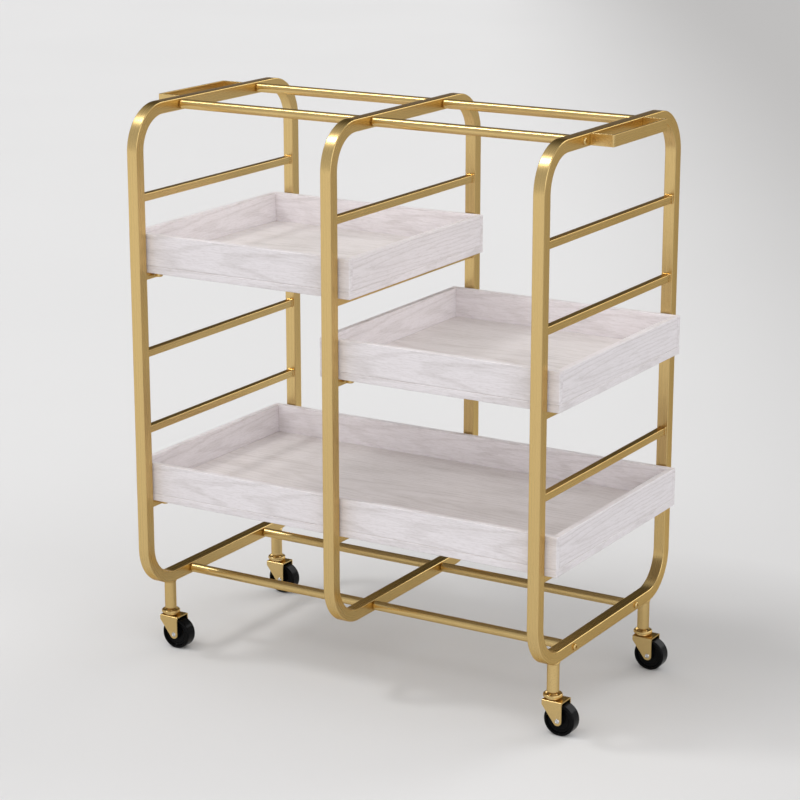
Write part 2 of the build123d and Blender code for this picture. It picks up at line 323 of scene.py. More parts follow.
def coated_metal(name, dark, light, edge_tint, fineness, roughness, bump, lacquer, brushed=False):
    """Metal with a fine grained finish, brushed along the piece's own length or not at all."""
    material, tree, shader = new_material(name)
    if brushed:
        place = add_node(tree, "ShaderNodeAttribute", {"attribute_name": "own_place"}).outputs["Vector"]
    else:
        place = add_node(tree, "ShaderNodeTexCoord").outputs["Object"]
    grain = add_node(tree, "ShaderNodeGroup", {"node_tree": fine_grain}, Vector=place,
                     Grain_Size=fineness, Line_Length=brushed_length if brushed else plain_length)
    tone = combine(tree, "ADD", combine(tree, "MULTIPLY", grain.outputs["Broad"], broad_share),
                   combine(tree, "MULTIPLY", grain.outputs["Lines"], line_share))
    shift = spread(tree, tone, tone_low, tone_high)
    tree.links.new(blend(tree, shift, dark, light), shader.inputs["Base Color"])
    tree.links.new(spread(tree, grain.outputs["Lines"], noise_low, noise_high, *roughness),
                   shader.inputs["Roughness"])
    relief = combine(tree, "ADD", grain.outputs["Fine"], grain.outputs["Lines"])
    lift = add_node(tree, "ShaderNodeBump", Strength=bump, Distance=metal_relief, Height=relief)
    tree.links.new(lift.outputs["Normal"], shader.inputs["Normal"])
    shader.inputs["Metallic"].default_value = 1.0
    shader.inputs["Specular Tint"].default_value = edge_tint
    shader.inputs["Coat Weight"].default_value = lacquer
    shader.inputs["Coat Roughness"].default_value = lacquer_roughness
    return material


gold = coated_metal("satin gold, brushed along", **gold_tones, fineness=1100.0, roughness=(0.25, 0.31),
                    bump=0.03, lacquer=0.3, brushed=True)
gold_fitting = coated_metal("satin gold, small fittings", **gold_tones, fineness=1400.0,
                            roughness=(0.25, 0.30), bump=0.03, lacquer=0.3)
zinc = coated_metal("bright zinc", **zinc_tones, fineness=2200.0, roughness=(0.20, 0.32),
                    bump=0.10, lacquer=0.0)
print("metals:", gold.name, gold_fitting.name, zinc.name)

# %% [markdown]
# ## The grain of whitewashed wood
# The boards are pale wood under a thin white wash. The growth rings still show as soft arches along each
# board, the pores as hair-thin streaks with short flecks among them, and the wash is thinner in broad,
# soft patches. A board is sawn from a log whose heart runs a little askew behind its face, and rings
# round such an axis are cut as arches. So the rings are drawn round a slanted axis, and four noises drawn
# out along the board add the rest.

# %% Grain under the wash, as a group
washed_grain, wash_in, wash_out = new_group(
    "washed grain",
    [("Vector", "NodeSocketVector"), ("Wash", "NodeSocketColor"), ("Wood", "NodeSocketColor"),
     ("Patches", "NodeSocketFloat")],
    [("Color", "NodeSocketColor"), ("Height", "NodeSocketFloat"), ("Bare", "NodeSocketFloat")],
)
board_place = wash_in.outputs["Vector"]
askew = add_node(washed_grain, "ShaderNodeMapping", Vector=board_place,
                 Location=(0.0, 0.004, 0.050), Rotation=(0.0, 0.40, 0.06), Scale=(0.12, 1.0, 1.0))
rings = add_node(washed_grain, "ShaderNodeTexWave",
                 {"wave_type": "RINGS", "rings_direction": "X", "wave_profile": "SIN"},
                 Vector=askew.outputs[0], Scale=50.0, Distortion=5.0, Detail=3.0,
                 Detail_Scale=1.2, Detail_Roughness=0.6)


def long_noise(along, across, detail, roughness):
    """Noise drawn out along the board, with a scale along it and another across it."""
    place = add_node(washed_grain, "ShaderNodeMapping", Vector=board_place, Scale=(along, across, across))
    return add_node(washed_grain, "ShaderNodeTexNoise", Vector=place.outputs[0],
                    Scale=1.0, Detail=detail, Roughness=roughness).outputs[0]


pores = long_noise(along=45.0, across=640.0, detail=4.0, roughness=0.65)
flecks = long_noise(along=130.0, across=480.0, detail=2.0, roughness=0.5)
fibres = long_noise(along=8.0, across=190.0, detail=3.0, roughness=0.6)
patches = long_noise(along=9.0, across=34.0, detail=3.0, roughness=0.55)
shares = (
    (spread(washed_grain, rings.outputs["Fac"], 0.66, 1.0), 0.30),
    (spread(washed_grain, pores, 0.44, 0.70), 0.34),
    (spread(washed_grain, flecks, 0.48, 0.72), 0.22),
    (spread(washed_grain, fibres, 0.44, 0.72), 0.14),
    (spread(washed_grain, patches, 0.46, 0.72), wash_in.outputs["Patches"]),
)
bare = 0.0
for mask, amount in shares:
    bare = combine(washed_grain, "ADD", bare, combine(washed_grain, "MULTIPLY", mask, amount))
washed = blend(washed_grain, bare, wash_in.outputs["Wash"], wash_in.outputs["Wood"])
washed_grain.links.new(washed, wash_out.inputs["Color"])
washed_grain.links.new(combine(washed_grain, "SUBTRACT", 1.0, bare), wash_out.inputs["Height"])
washed_grain.links.new(bare, wash_out.inputs["Bare"])
print("group:", washed_grain.name, "with", len(shares), "layers")

# %% [markdown]
# ## Whitewashed boards and tray bottoms
# Every board carries an attribute with its own length, width and depth, so one material draws all boards,
# each with the grain along it. Where the wood is barer it is a little rougher, and it lies a little
# deeper. The bottoms of the trays have a warmer wash with stronger patches than the boards.

# %% Two washed woods
wash_roughness, bare_roughness = 0.50, 0.72
fully_bare = 0.8
wood_relief = 0.0004


def washed_wood(name, wash, wood, patch_share):
    """Whitewashed wood whose grain follows the board's own length."""
    material, tree, shader = new_material(name)
    place = add_node(tree, "ShaderNodeAttribute", {"attribute_name": "own_place"})
    grain = add_node(tree, "ShaderNodeGroup", {"node_tree": washed_grain},
                     Vector=place.outputs["Vector"], Wash=wash, Wood=wood, Patches=patch_share)
    tree.links.new(grain.outputs["Color"], shader.inputs["Base Color"])
    rough = spread(tree, grain.outputs["Bare"], 0.0, fully_bare, wash_roughness, bare_roughness)
    tree.links.new(rough, shader.inputs["Roughness"])
    lift = add_node(tree, "ShaderNodeBump", Strength=0.20, Distance=wood_relief,
                    Height=grain.outputs["Height"])
    tree.links.new(lift.outputs["Normal"], shader.inputs["Normal"])
    shader.inputs["Specular IOR Level"].default_value = 0.30
    return material


wood_boards = washed_wood("washed wood, boards", wash=(0.86, 0.820, 0.846, 1),
                          wood=(0.61, 0.566, 0.566, 1), patch_share=0.16)
wood_bottom = washed_wood("washed wood, tray bottoms", wash=(0.84, 0.797, 0.799, 1),
                          wood=(0.62, 0.577, 0.563, 1), patch_share=0.42)
print("woods:", wood_boards.name, wood_bottom.name)

# %% [markdown]
# ## Black wheel plastic
# The wheels are moulded in one black plastic that comes smooth from the mould. The tread could have a
# duller finish, told apart by its distance from the axle, but it hardly shows on wheels this small. One
# finish is enough, and the fine grain alone breaks up its shine.

# %% Black plastic
black_tones = (0.0020, 0.0020, 0.0022, 1), (0.0045, 0.0045, 0.0050, 1)
black_roughness = 0.14, 0.24
black, black_tree, black_shader = new_material("black wheel plastic")
black_place = add_node(black_tree, "ShaderNodeTexCoord")
black_grain = add_node(black_tree, "ShaderNodeGroup", {"node_tree": fine_grain},
                       Vector=black_place.outputs["Object"], Grain_Size=900.0, Line_Length=plain_length)
black_tree.links.new(blend(black_tree, black_grain.outputs["Broad"], *black_tones),
                     black_shader.inputs["Base Color"])
black_tree.links.new(
    spread(black_tree, black_grain.outputs["Fine"], noise_low, noise_high, *black_roughness),
    black_shader.inputs["Roughness"],
)
black_shader.inputs["Specular IOR Level"].default_value = 0.08
print("plastic:", black.name)

# %% [markdown]
# ## Hoops
# A hoop is one length of square tube bent round four corners and welded shut. A plane of the hoop's outer
# size gets its corners rounded by a vertex bevel. An inset as wide as the tube leaves a ring, and an
# extrude as deep as the tube makes the ring solid. A small bevel last gives the tube its soft edges,
# which carry the highlights.

# %% The shape of a hoop
bend_outside, bend_segments = 0.0725, 20
tube_edge = 0.0016
hoop_low, hoop_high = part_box("hoop_middle")
tube = hoop_high.x - hoop_low.x
hoop_size = hoop_high - hoop_low
hoop_centre = (hoop_low + hoop_high) / 2

hoop = start(bpy.ops.mesh.primitive_plane_add, "hoop", size=1.0, rotation=(0, math.pi / 2, 0),
             location=(-tube / 2, hoop_centre.y, hoop_centre.z))
apply_place(hoop)
open_mesh(hoop, "VERT")
bpy.ops.mesh.select_all(action="SELECT")
bpy.ops.transform.resize(value=(1, hoop_size.y, hoop_size.z),
                         center_override=(0, hoop_centre.y, hoop_centre.z))
bpy.ops.mesh.bevel(offset=bend_outside, segments=bend_segments, affect="VERTICES")
bpy.ops.mesh.select_mode(type="FACE")
bpy.ops.mesh.select_all(action="SELECT")
bpy.ops.mesh.inset(thickness=tube, use_even_offset=True, use_boundary=True)
bpy.ops.mesh.delete(type="FACE")
bpy.ops.mesh.select_all(action="SELECT")
bpy.ops.mesh.extrude_region_move(TRANSFORM_OT_translate={"value": (tube, 0, 0)})
bpy.ops.mesh.select_all(action="SELECT")
bpy.ops.mesh.normals_make_consistent(inside=False)
close_mesh()
ease_edges(hoop, tube_edge)
print("hoop:", [round(v, 3) for v in hoop_size], "of tube", round(tube, 4))

# %% [markdown]
# ## Brushed lines that follow the bends
# The lines run along the tube and so round its bends. A pattern on plain places would cut straight across
# a bend, so each vertex of the hoop stores how far round the hoop it lies. The hoop is the same on its
# four quarters, so one quarter is worked out, and the others mirror it.

# %% Three hoops
hoop_names = ("hoop_left", "hoop_middle", "hoop_right")
bend_centre = Vector((0, hoop_size.y / 2 - bend_outside, hoop_size.z / 2 - bend_outside))


def along_hoop(place):
    """The way round the hoop, the place across its tube, and the distance out from a bend's centre."""
    spot = Vector((0, abs(place.y - hoop_centre.y), abs(place.z - hoop_centre.z))) - bend_centre
    past_y, past_z = max(spot.y, 0), max(spot.z, 0)
    turn = math.atan2(past_z, past_y)
    return (min(spot.z, 0) + turn * bend_outside - min(spot.y, 0), place.x, math.hypot(past_y, past_z))


keep_place(hoop, along_hoop)
for node in hoop_names:
    offset = (middle_of(node).x, 0, 0)
    dress(copy_to(hoop, f"{node}_tube", offset), gold, "gold_metal", "frame", node)
bpy.data.objects.remove(hoop)
print("hoops:", len(hoop_names))

# %% [markdown]
# ## Rungs and their welds
# The rungs are lengths of smaller square tube with eased edges. Their ends are butted against the posts
# and welded all round, which leaves a narrow raised collar. One cube makes a rung and another, flatter
# one makes a collar, which tapers away from the post.

# %% The shapes of a rung and of its weld
rung_edge = 0.0012
weld_size = 0.0016
rung_low, rung_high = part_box("rungs_left")
rung = rung_high.x - rung_low.x
rung_length = rung_high.y - rung_low.y
collar_width = rung + 2 * weld_size
mostly = 0.5

bar = start(bpy.ops.mesh.primitive_cube_add, "rung", size=1.0)
bar.scale = (rung, rung_length, rung)
apply_place(bar)
ease_edges(bar, rung_edge)
keep_place(bar, lambda place: (place.y, place.x, place.z))

collar = start(bpy.ops.mesh.primitive_cube_add, "collar", size=1.0)
collar.scale = (collar_width, 2 * weld_size, collar_width)
apply_place(collar)
open_mesh(collar)
pick(collar, "faces", lambda face: face.normal.y > mostly)
bpy.ops.transform.resize(value=(rung / collar_width, 1, rung / collar_width), center_override=(0, 0, 0))
close_mesh()
ease_edges(collar, weld_size / 2, sharper_than=20)
print("rung:", round(rung, 4), "square,", round(rung_length, 4), "long")

# %% [markdown]
# ## Rungs at every level
# The levels are evenly spaced, and the middle hoop lacks the fourth one. All rungs of a hoop are one CAD
# node, so their copies are joined, and the collars of the whole cart are joined into one piece that only
# the scene has.

# %% Fourteen rungs
rung_levels = {"rungs_left": (0, 1, 2, 3, 4), "rungs_middle": (0, 1, 2, 4), "rungs_right": (0, 1, 2, 3, 4)}
rung_pitch = (rung_high.z - rung_low.z - rung) / rung_levels["rungs_left"][-1]
weld_y = rung_length / 2 - weld_size / 2
welds = []
for node, levels in rung_levels.items():
    x = middle_of(node).x
    bars = []
    for level in levels:
        z = rung_high.z - rung / 2 - level * rung_pitch
        bars.append(copy_to(bar, "bar", (x, 0, z)))
        welds.append(copy_to(collar, "weld", (x, -weld_y, z)))
        welds.append(copy_to(collar, "weld", (x, weld_y, z), math.pi))
    dress(join(bars, f"{node}_bars"), gold, "gold_metal", "frame", node)
dress(join(welds, "rung_welds"), gold_fitting, "gold_metal", "frame")
bpy.data.objects.remove(bar)
bpy.data.objects.remove(collar)
print("rungs:", [len(levels) for levels in rung_levels.values()], "pitch", round(rung_pitch, 4))

# %% [markdown]
# ## Rods
# Each rod is a round tube with a plug in either end. The plug stands out as a short, narrower neck, so
# the rod meets the hoop with a dark little groove. The end faces of a cylinder are inset to the neck and
# pulled out, and its rims are eased.

# %% Eight rods
neck_length = 0.0016
neck_share = 11.5 / 15.0
rod_edge, rod_sides = 0.0008, 64
rod_low, rod_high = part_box("rod_top_front_left")
rod_radius = (rod_high.z - rod_low.z) / 2
rod_length = rod_high.x - rod_low.x
rod_names = [f"rod_{level}_{row}_{bay}" for level in ("top", "bottom")
             for row in ("front", "back") for bay in ("left", "right")]
square_on = 0.99

rod = start(bpy.ops.mesh.primitive_cylinder_add, "rod", vertices=rod_sides, radius=rod_radius,
            depth=rod_length - 2 * neck_length, rotation=(0, math.pi / 2, 0))
apply_place(rod)
for side in (-1, 1):
    open_mesh(rod)
    pick(rod, "faces", lambda face: face.normal.x * side > square_on)
    bpy.ops.mesh.inset(thickness=rod_radius * (1 - neck_share), use_even_offset=True)
    bpy.ops.mesh.extrude_region_move(TRANSFORM_OT_translate={"value": (side * neck_length, 0, 0)})
    close_mesh()
ease_edges(rod, rod_edge)
keep_place(rod, lambda place: place)
for node in rod_names:
    dress(copy_to(rod, f"{node}_tube", middle_of(node)), gold, "gold_metal", "frame", node)
bpy.data.objects.remove(rod)
print("rods:", len(rod_names), "radius", round(rod_radius, 4))

# %% [markdown]
# ## Bolts
# A button-head bolt holds each rod end to an end hoop. Only the domed head shows, so only the head is
# modelled: a cylinder whose outer rim is beveled until it is a dome, with a hexagon cut into it by a
# boolean.

# %% Eight bolt heads
head_radius, head_height, head_dome = 0.00525, 0.0033, 0.0024
head_sides, dome_segments = 48, 6
socket_radius, socket_depth = 0.0023, 0.0018
head_smooth_below = math.radians(35)
rim_from = head_height * 0.9
bolt_seat = hoop_high.x + abs(middle_of("hoop_right").x)

bolt = start(bpy.ops.mesh.primitive_cylinder_add, "bolt", vertices=head_sides, radius=head_radius,
             depth=head_height, location=(head_height / 2, 0, 0), rotation=(0, math.pi / 2, 0))
apply_place(bolt)
open_mesh(bolt, "EDGE")
pick(bolt, "edges", lambda edge: all(vert.co.x > rim_from for vert in edge.verts))
bpy.ops.mesh.bevel(offset=head_dome, segments=dome_segments, affect="EDGES")
close_mesh()
hexagon = start(bpy.ops.mesh.primitive_cylinder_add, "socket", vertices=6, radius=socket_radius,
                depth=2 * socket_depth, location=(head_height, 0, 0), rotation=(0, math.pi / 2, 0))
apply_place(hexagon)
modify(bolt, "BOOLEAN", operation="DIFFERENCE", object=hexagon, solver="EXACT")
bpy.data.objects.remove(hexagon)
select_only(bolt)
bpy.ops.object.shade_smooth_by_angle(angle=head_smooth_below)
heads = []
for node in rod_names:
    side = -1 if node.endswith("left") else 1
    spot = middle_of(node)
    heads.append(copy_to(bolt, "head", (side * bolt_seat, spot.y, spot.z), 0 if side > 0 else math.pi))
dress(join(heads, "bolt_heads"), gold_fitting, "gold_metal", "frame", "end_bolts")
bpy.data.objects.remove(bolt)
print("bolt heads:", len(rod_names))

# %% [markdown]
# ## End handles
# A handle is flat bar bent square to a U and welded to the side of the hoop. A cube makes the long bar.
# Two cuts near its ends mark where the arms begin, the marked faces are extruded toward the hoop, and the
# two outer corners are rounded.

# %% Two handles
handle_bar, handle_corner, handle_edge = 0.004, 0.003, 0.0007
corner_segments = 6
nearly = 1e-5
for node, side in (("handle_left", -1), ("handle_right", 1)):
    low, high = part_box(node)
    outer = high.x if side > 0 else low.x
    reach = high.x - low.x
    handle = start(bpy.ops.mesh.primitive_cube_add, f"{node}_bar", size=1.0,
                   location=(outer - side * handle_bar / 2, 0, (low.z + high.z) / 2))
    handle.scale = (handle_bar, high.y - low.y, high.z - low.z)
    apply_place(handle)
    open_mesh(handle)
    for y in (low.y + handle_bar, high.y - handle_bar):
        bpy.ops.mesh.select_all(action="SELECT")
        bpy.ops.mesh.bisect(plane_co=(0, y, 0), plane_no=(0, 1, 0))
    pick(handle, "faces", lambda face: face.normal.x * side < -square_on
         and abs(face.calc_center_median().y) > high.y - handle_bar)
    arm = -side * (reach - handle_bar)
    bpy.ops.mesh.extrude_region_move(TRANSFORM_OT_translate={"value": (arm, 0, 0)})
    bpy.ops.mesh.select_mode(type="EDGE")
    pick(handle, "edges", lambda edge: all(
        abs(vert.co.x - outer) < nearly and abs(vert.co.y) > high.y - nearly for vert in edge.verts))
    bpy.ops.mesh.bevel(offset=handle_corner, segments=corner_segments, affect="EDGES")
    bpy.ops.mesh.select_all(action="SELECT")
    bpy.ops.mesh.normals_make_consistent(inside=False)
    close_mesh()
    ease_edges(handle, handle_edge)
    keep_place(handle, lambda place: (place.y, place.x, place.z))
    dress(handle, gold, "gold_metal", "frame", node)
print("handles: reach", round(reach, 4))

# %% [markdown]
# ## Turned pieces
# Legs, caster caps, wheels, axles and pegs are all round about an axis. Their outline is drawn as a chain
# of extruded vertices, each a radius and a height, and spun once round. The seam is merged and the faces
# are turned outwards, and then a small bevel eases the sharp rims.

# %% Helpers for spun outlines
seam_gap = 0.00001
rim_sharper_than = 25


def turned(name, outline, steps=72, edge=0.0003):
    """Spins an outline of (radius, height) points round Z into a closed solid."""
    piece = start(bpy.ops.mesh.primitive_plane_add, name, size=0.001)
    open_mesh(piece, "VERT")
    bpy.ops.mesh.select_all(action="SELECT")
    bpy.ops.mesh.merge(type="CENTER")
    bpy.ops.transform.translate(value=(outline[0][0], 0, outline[0][1]))
    for (r0, z0), (r1, z1) in zip(outline, outline[1:]):
        bpy.ops.mesh.extrude_vertices_move(TRANSFORM_OT_translate={"value": (r1 - r0, 0, z1 - z0)})
    bpy.ops.mesh.select_all(action="SELECT")
    bpy.ops.mesh.spin(steps=steps, angle=2 * math.pi, center=(0, 0, 0), axis=(0, 0, 1))
    bpy.ops.mesh.select_all(action="SELECT")
    bpy.ops.mesh.remove_doubles(threshold=seam_gap)
    bpy.ops.mesh.normals_make_consistent(inside=False)
    close_mesh()
    ease_edges(piece, edge, sharper_than=rim_sharper_than)
    return piece


def quarter_round(steps):
    """The sine and cosine of evenly spaced angles, from just after 0 up to a quarter turn."""
    angles = [math.pi / 2 * step / steps for step in range(1, steps + 1)]
    return [(math.sin(angle), math.cos(angle)) for angle in angles]


# %% [markdown]
# ## Legs
# A short round leg is welded under each lower corner of the end hoops. Its outline swells to a small
# collar of weld just under the hoop, and its top runs a little way into the hoop so that the weld has no
# gap.

# %% The shape of a leg
leg_low, leg_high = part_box("leg_front_left")
leg_radius = (leg_high.x - leg_low.x) / 2
leg_top = hoop_low.z + tube_edge
leg_edge = 0.0005
weld_reach, weld_start, weld_peak = 0.0012, 0.002, 0.0004
leg = turned("leg", [
    (0, leg_low.z), (leg_radius, leg_low.z), (leg_radius, hoop_low.z - weld_start),
    (leg_radius + weld_reach, hoop_low.z - weld_peak), (leg_radius, leg_top), (0, leg_top),
], edge=leg_edge)
print("leg: radius", round(leg_radius, 4))

# %% [markdown]
# ## Caster caps
# Under the leg stand a narrower neck and a dished cap, the upper half of the swivel bearing. A pintle
# goes down from it through the fork, and its head is riveted over there. All of that is one spun outline,
# from the head of the pintle up to the neck, with a raised, rounded lip round the dish. A leg and a cap
# then go to each corner.

# %% Four legs and four caps
corners = [f"{row}_{end}" for row in ("front", "back") for end in ("left", "right")]
stem_low, stem_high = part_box("caster_front_left_stem")
cap_radius = (stem_high.x - stem_low.x) / 2
cap_bottom, cap_under, dish_floor, cap_top = 0.0590, 0.0600, 0.0615, 0.0635
lip_round, lip_width, lip_slope, lip_drop = 0.0018, 0.0050, 0.0005, 0.0003
lip_flat, skirt_wall, skirt_chamfer = 0.0002, 0.0016, 0.0004
lip_inside = cap_radius - lip_width / 2 - lip_flat
skirt_inside = cap_radius - skirt_wall
neck_radius, neck_foot, neck_overlap = 0.0065, 0.0008, 0.001
pintle_radius, pintle_head_radius, pintle_head_top = 0.0050, 0.0065, 0.0569
lip_start = (cap_radius, cap_top - lip_round)
lip = [(cap_radius - lip_round + lip_round * out, cap_top - lip_round + lip_round * up)
       for up, out in quarter_round(8)]
cap = turned("cap", [
    (0, stem_low.z), (pintle_head_radius, stem_low.z), (pintle_head_radius, pintle_head_top),
    (pintle_radius, pintle_head_top), (pintle_radius, cap_under), (skirt_inside, cap_under),
    (skirt_inside, cap_bottom), (cap_radius - skirt_chamfer, cap_bottom),
    (cap_radius, cap_bottom + skirt_chamfer), lip_start, *lip,
    (lip_inside, cap_top), (lip_inside - lip_slope, cap_top - lip_drop),
    (cap_radius - lip_width, dish_floor), (neck_radius + neck_foot, dish_floor),
    (neck_radius, dish_floor + neck_foot), (neck_radius, leg_low.z + neck_overlap),
    (0, leg_low.z + neck_overlap),
])
for corner in corners:
    foot = middle_of(f"leg_{corner}") * Vector((1, 1, 0))
    dress(copy_to(leg, f"leg_tube_{corner}", foot), gold_fitting, "gold_metal", "frame", f"leg_{corner}")
    dress(copy_to(cap, f"cap_{corner}", foot), gold_fitting, "gold_metal", "frame", f"caster_{corner}_stem")
bpy.data.objects.remove(leg)
bpy.data.objects.remove(cap)
print("legs and caps at", corners)

# %% [markdown]
# ## Wheels
# A wheel's outline runs from the bore out over the hub, along the thin web with its low ring, up the
# inside of the rim and round the shoulder of the tread. It is the same on both sides, so one side is
# written down and the other is its mirror image.

# %% The shape of a wheel
wheel_low, wheel_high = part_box("caster_front_left_wheel")
wheel_radius = (wheel_high.z - wheel_low.z) / 2
hub_half = (wheel_high.y - wheel_low.y) / 2
tread_half, web_half, shoulder = 0.011, 0.007, 0.003
hub_radius, rim_radius, bore_radius = 0.008, 0.0195, 0.00305
hub_chamfer, hub_flare, rim_slope = 0.0006, 0.001, 0.002
ring_inside, ring_outside, ring_rise = rim_radius - 0.0045, rim_radius - 0.0027, 0.0005
wheel_side = [
    (bore_radius, hub_half), (hub_radius - hub_chamfer, hub_half), (hub_radius, hub_half - hub_chamfer),
    (hub_radius + hub_flare, web_half), (ring_inside, web_half),
    (ring_inside + ring_rise, web_half + ring_rise), (ring_outside - ring_rise, web_half + ring_rise),
    (ring_outside, web_half), (rim_radius, web_half), (rim_radius + rim_slope, tread_half),
    (wheel_radius - shoulder, tread_half),
]
for out, up in quarter_round(6):
    wheel_side.append((wheel_radius - shoulder + shoulder * out, tread_half - shoulder + shoulder * up))
wheel_back = [(r, -z) for r, z in reversed(wheel_side)]
wheel = turned("wheel", [*wheel_side, *wheel_back, wheel_side[0]], steps=96)
print("wheel: radius", round(wheel_radius, 4), "tread", 2 * tread_half)

# %% [markdown]
# ## Axles
# An axle is a rivet with a low domed head at each end, and each head has a dimple from the riveting tool.
# It is spun like the wheel. Both are then laid over, so that their axis lies across the cart, and copied
# to each caster. The wheel rides on its own body, and the axle on the fork's.

# %% Four wheels and four axles
axle_low, axle_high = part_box("caster_front_left_axle")
head_half = (axle_high.y - axle_low.y) / 2
axle_radius, axle_head = 0.003, (axle_high.x - axle_low.x) / 2
cheek_half, dimple_radius, dimple_depth = 0.0155, 0.0017, 0.0014
dimple_floor, crown_start, crown_end = dimple_radius * 0.4, axle_head * 0.5, axle_head * 0.8
dimple_lip, crown_drop, rim_drop = 0.0002, 0.0004, 0.0012
axle_edge = 0.0001
rivet = [
    (0, head_half - dimple_depth), (dimple_floor, head_half - dimple_depth),
    (dimple_radius, head_half - dimple_lip), (crown_start, head_half),
    (crown_end, head_half - crown_drop), (axle_head, head_half - rim_drop),
    (axle_head, cheek_half), (axle_radius, cheek_half),
]
axle = turned("axle", rivet + [(r, -z) for r, z in reversed(rivet)], edge=axle_edge)
for spun in (wheel, axle):
    open_mesh(spun)
    bpy.ops.mesh.select_all(action="SELECT")
    bpy.ops.transform.rotate(value=math.pi / 2, orient_axis="X", center_override=(0, 0, 0))
    close_mesh()
for corner in corners:
    hub = middle_of(f"caster_{corner}_wheel")
    dress(copy_to(wheel, f"round_wheel_{corner}", hub), black, "black_plastic",
          f"wheel_{corner}", f"caster_{corner}_wheel")
    dress(copy_to(axle, f"axle_rivet_{corner}", hub), zinc, "zinc_steel",
          f"caster_{corner}", f"caster_{corner}_axle")
bpy.data.objects.remove(wheel)
bpy.data.objects.remove(axle)
print("wheels and axles at", corners)

# %% [markdown]
# ## Pieces that stay as they come
# The pressed forks, the swivel washers and the hidden studs already have their true shape in the CAD
# model, so they only get a finish.

# %% Finishes for the CAD pieces that stay
kept_finishes = {"joining_studs": zinc}
for corner in corners:
    kept_finishes[f"caster_{corner}_fork"] = gold_fitting
    kept_finishes[f"caster_{corner}_washer"] = black
for node, finish in kept_finishes.items():
    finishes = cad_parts[node].data.materials
    finishes.clear()
    finishes.append(finish)
print("kept CAD pieces:", len(kept_finishes))

# %% [markdown]
# ## Tray bottoms
# A tray is a flat panel with four boards standing in a shallow rebate round its edge. The field of the
# panel is its top face, inset by the width of the rebate and raised. The panel's edges show under the
# boards, so they share the boards' finish, and at the two ends the grain runs across the cart with the
# end boards.

# %% A helper for tray bottoms
board_edge = 0.0011
field_rise, rebate = 0.002, 0.01025
end_depth = 0.0004
depth_share = 0.2


def tray_bottom(tray):
    """The bottom panel of a tray, with the boards' finish on its edges."""
    node = f"{tray}_panel"
    low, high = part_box(node)
    centre = (low + high) / 2
    panel = start(bpy.ops.mesh.primitive_cube_add, f"{tray}_bottom", size=1.0,
                  location=centre - Vector((0, 0, field_rise / 2)))
    panel.scale = (high.x - low.x, high.y - low.y, high.z - low.z - field_rise)
    apply_place(panel)
    open_mesh(panel)
    pick(panel, "faces", lambda face: face.normal.z > square_on)
    bpy.ops.mesh.inset(thickness=rebate, use_even_offset=True)
    bpy.ops.mesh.extrude_region_move(TRANSFORM_OT_translate={"value": (0, 0, field_rise)})
    close_mesh()
    ease_edges(panel, board_edge)
    end = (high.x - low.x) / 2 - end_depth
    keep_place(panel, lambda place: (
        place - centre if abs(place.x - centre.x) < end
        else (place.y, place.z - centre.z, depth_share * place.x)))
    dress(panel, wood_bottom, "washed_wood", tray, node)
    panel.data.materials.append(wood_boards)
    for face in panel.data.polygons:
        face.material_index = 1 if abs(face.normal.z) < mostly else 0


# %% [markdown]
# ## Tray boards
# Each board is a cube of the board's size with eased edges, so a fine shadow line shows where it stands
# on the panel. The grain follows the length of each board. The four boards of a tray are cut from
# different stretches of the log, so that no two of them show the same arches.

# %% A helper for tray boards
log_step = Vector((1, 1, 0)) * 0.17


def tray_boards(tray):
    """The four boards of a tray, with the grain along each."""
    for count, edge in enumerate(("front", "back", "left", "right")):
        node = f"{tray}_{edge}"
        low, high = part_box(node)
        board = start(bpy.ops.mesh.primitive_cube_add, f"{node}_board", size=1.0, location=(low + high) / 2)
        board.scale = high - low
        apply_place(board)
        ease_edges(board, board_edge)
        origin = (low + high) / 2 + log_step * (count - 1)
        along, through = (1, 0) if edge in ("left", "right") else (0, 1)
        keep_place(board, lambda place: (
            (place - origin)[along], place.z - origin.z, (place - origin)[through] * depth_share))
        dress(board, wood_boards, "washed_wood", tray, node)


# %% [markdown]
# ## Stop pegs and whole trays
# Four short pegs under each tray stand beside the hoops and stop it from sliding endways. A peg is a spun
# outline with a small chamfer at its foot. Each tray is then made as a whole: bottom, boards and pegs all
# ride on the tray's own body, so that they lift together.

# %% Three trays
peg_radius, peg_chamfer, peg_steps = 0.006, 0.001, 40


def tray_pegs(tray):
    """The four stop pegs of a tray, joined."""
    node = f"{tray}_pegs"
    low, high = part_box(node)
    height = high.z - low.z
    peg = turned("peg", [(0, 0), (peg_radius - peg_chamfer, 0), (peg_radius, peg_chamfer),
                         (peg_radius, height), (0, height)], steps=peg_steps)
    pegs = []
    for x in (low.x + peg_radius, high.x - peg_radius):
        for y in (low.y + peg_radius, high.y - peg_radius):
            pegs.append(copy_to(peg, "peg", (x, y, low.z)))
    bpy.data.objects.remove(peg)
    dress(join(pegs, f"{tray}_stop_pegs"), gold_fitting, "gold_metal", tray, node)


for tray in ("tray_upper", "tray_middle", "tray_lower"):
    tray_bottom(tray)
    tray_boards(tray)
    tray_pegs(tray)
    print(tray, "has a bottom, boards and pegs")
